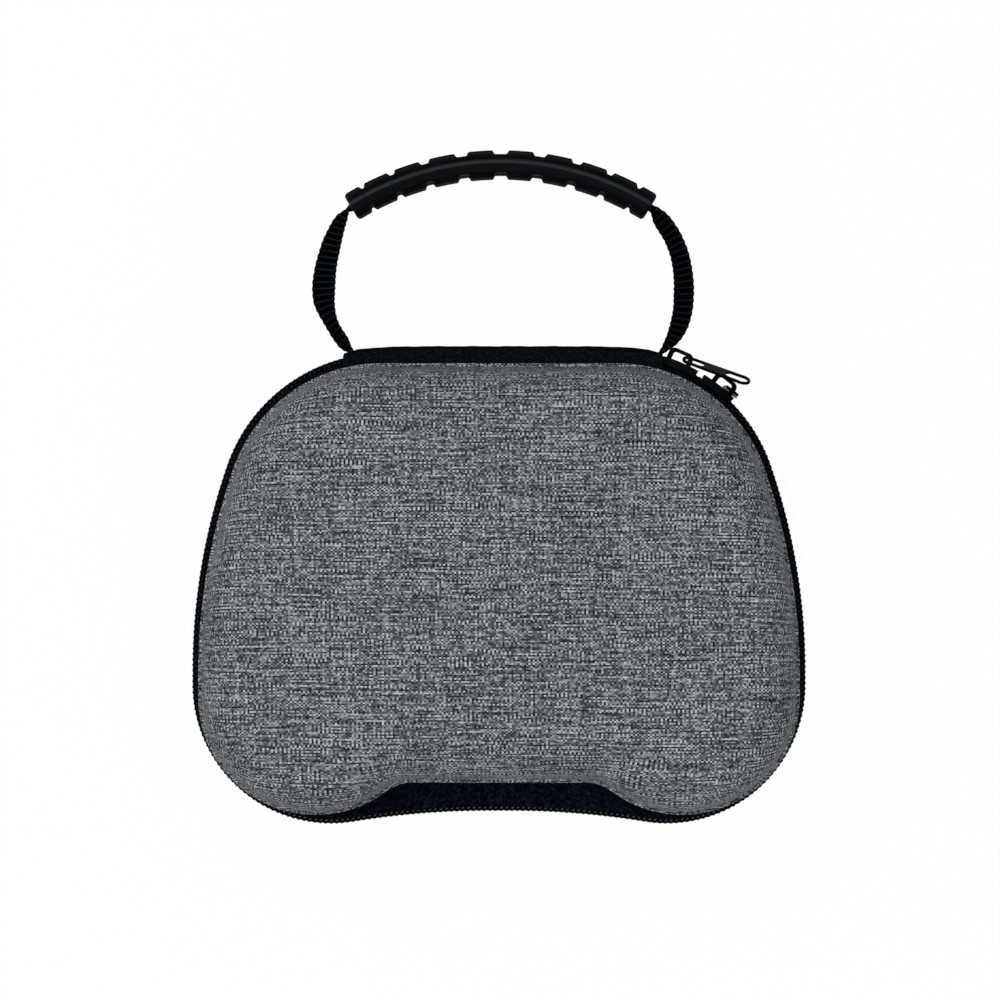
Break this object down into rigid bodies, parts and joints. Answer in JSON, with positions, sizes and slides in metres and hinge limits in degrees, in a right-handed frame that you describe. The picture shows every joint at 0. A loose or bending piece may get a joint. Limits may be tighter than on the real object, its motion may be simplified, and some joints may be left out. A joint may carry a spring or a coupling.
{
  "type": "game controller carrying case",
  "caption": "Hard-shell zip case for a game controller, with lobed shells, a fabric spine and a webbing handle in a notched moulded grip.",
  "frame": {"origin": "centre of the back shell's flat resting face", "axes": "+X to the right seen from the front, +Y up towards the handle, +Z out of the front shell's face"},
  "size_m": [0.1808, 0.1982, 0.075],
  "materials": {
    "shell_cloth": "heathered grey woven cloth bonded over a moulded foam shell",
    "binding": "black woven ribbon",
    "zip_tape": "black ribbed zip tape",
    "zip_coil": "black nylon coil",
    "spine_cloth": "black herringbone tape",
    "webbing": "black ribbed webbing",
    "grip_rubber": "satin black moulded rubber",
    "slider_metal": "black enamelled zinc"
  },
  "bodies": {
    "back_half": {"back_shell": "shell_cloth", "back_rim_binding": "binding", "back_zip_tape": "zip_tape", "back_zip_coil": "zip_coil"},
    "spine": {"spine_strip": "spine_cloth", "spine_lining": "binding", "handle_strap": "webbing", "handle_grip": "grip_rubber"},
    "front_half": {"front_shell": "shell_cloth", "front_rim_binding": "binding", "front_zip_tape": "zip_tape", "front_tape_end": "zip_tape", "front_zip_coil": "zip_coil"},
    "upper_slider": {"upper_slider": "slider_metal"},
    "upper_pull": {"upper_slider_pull": "slider_metal"},
    "lower_slider": {"lower_slider": "slider_metal"},
    "lower_pull": {"lower_slider_pull": "slider_metal"}
  },
  "joints": [
    {"name": "back_fold", "type": "hinge", "parent": "back_half", "child": "spine", "pos_m": [0, 0.0697, 0.0295], "axis": [-1, 0, 0], "range_deg": [0, 90]},
    {"name": "front_fold", "type": "hinge", "parent": "spine", "child": "front_half", "pos_m": [0, 0.0697, 0.0455], "axis": [-1, 0, 0], "range_deg": [0, 90], "deforming": ["front_tape_end"]},
    {"name": "lower_slider_travel", "type": "hinge", "parent": "back_half", "child": "lower_slider", "pos_m": [0.03359, 0.0202, 0.0375], "axis": [0, 0, -1], "range_deg": [0, 25.5], "deforming": ["back_zip_coil", "front_zip_coil"]},
    {"name": "upper_slider_travel", "type": "hinge", "parent": "back_half", "child": "upper_slider", "pos_m": [0.03359, 0.0202, 0.0375], "axis": [0, 0, -1], "range_deg": [0, 1.2]},
    {"name": "upper_pull_swing", "type": "hinge", "parent": "upper_slider", "child": "upper_pull", "pos_m": [0.05457, 0.06781, 0.0375], "axis": [0, 0, 1], "range_deg": [0, 100]},
    {"name": "lower_pull_swing", "type": "hinge", "parent": "lower_slider", "child": "lower_pull", "pos_m": [0.06881, 0.0583, 0.03885], "axis": [0.7826, -0.6225, 0], "range_deg": [0, 15]}
  ]
}
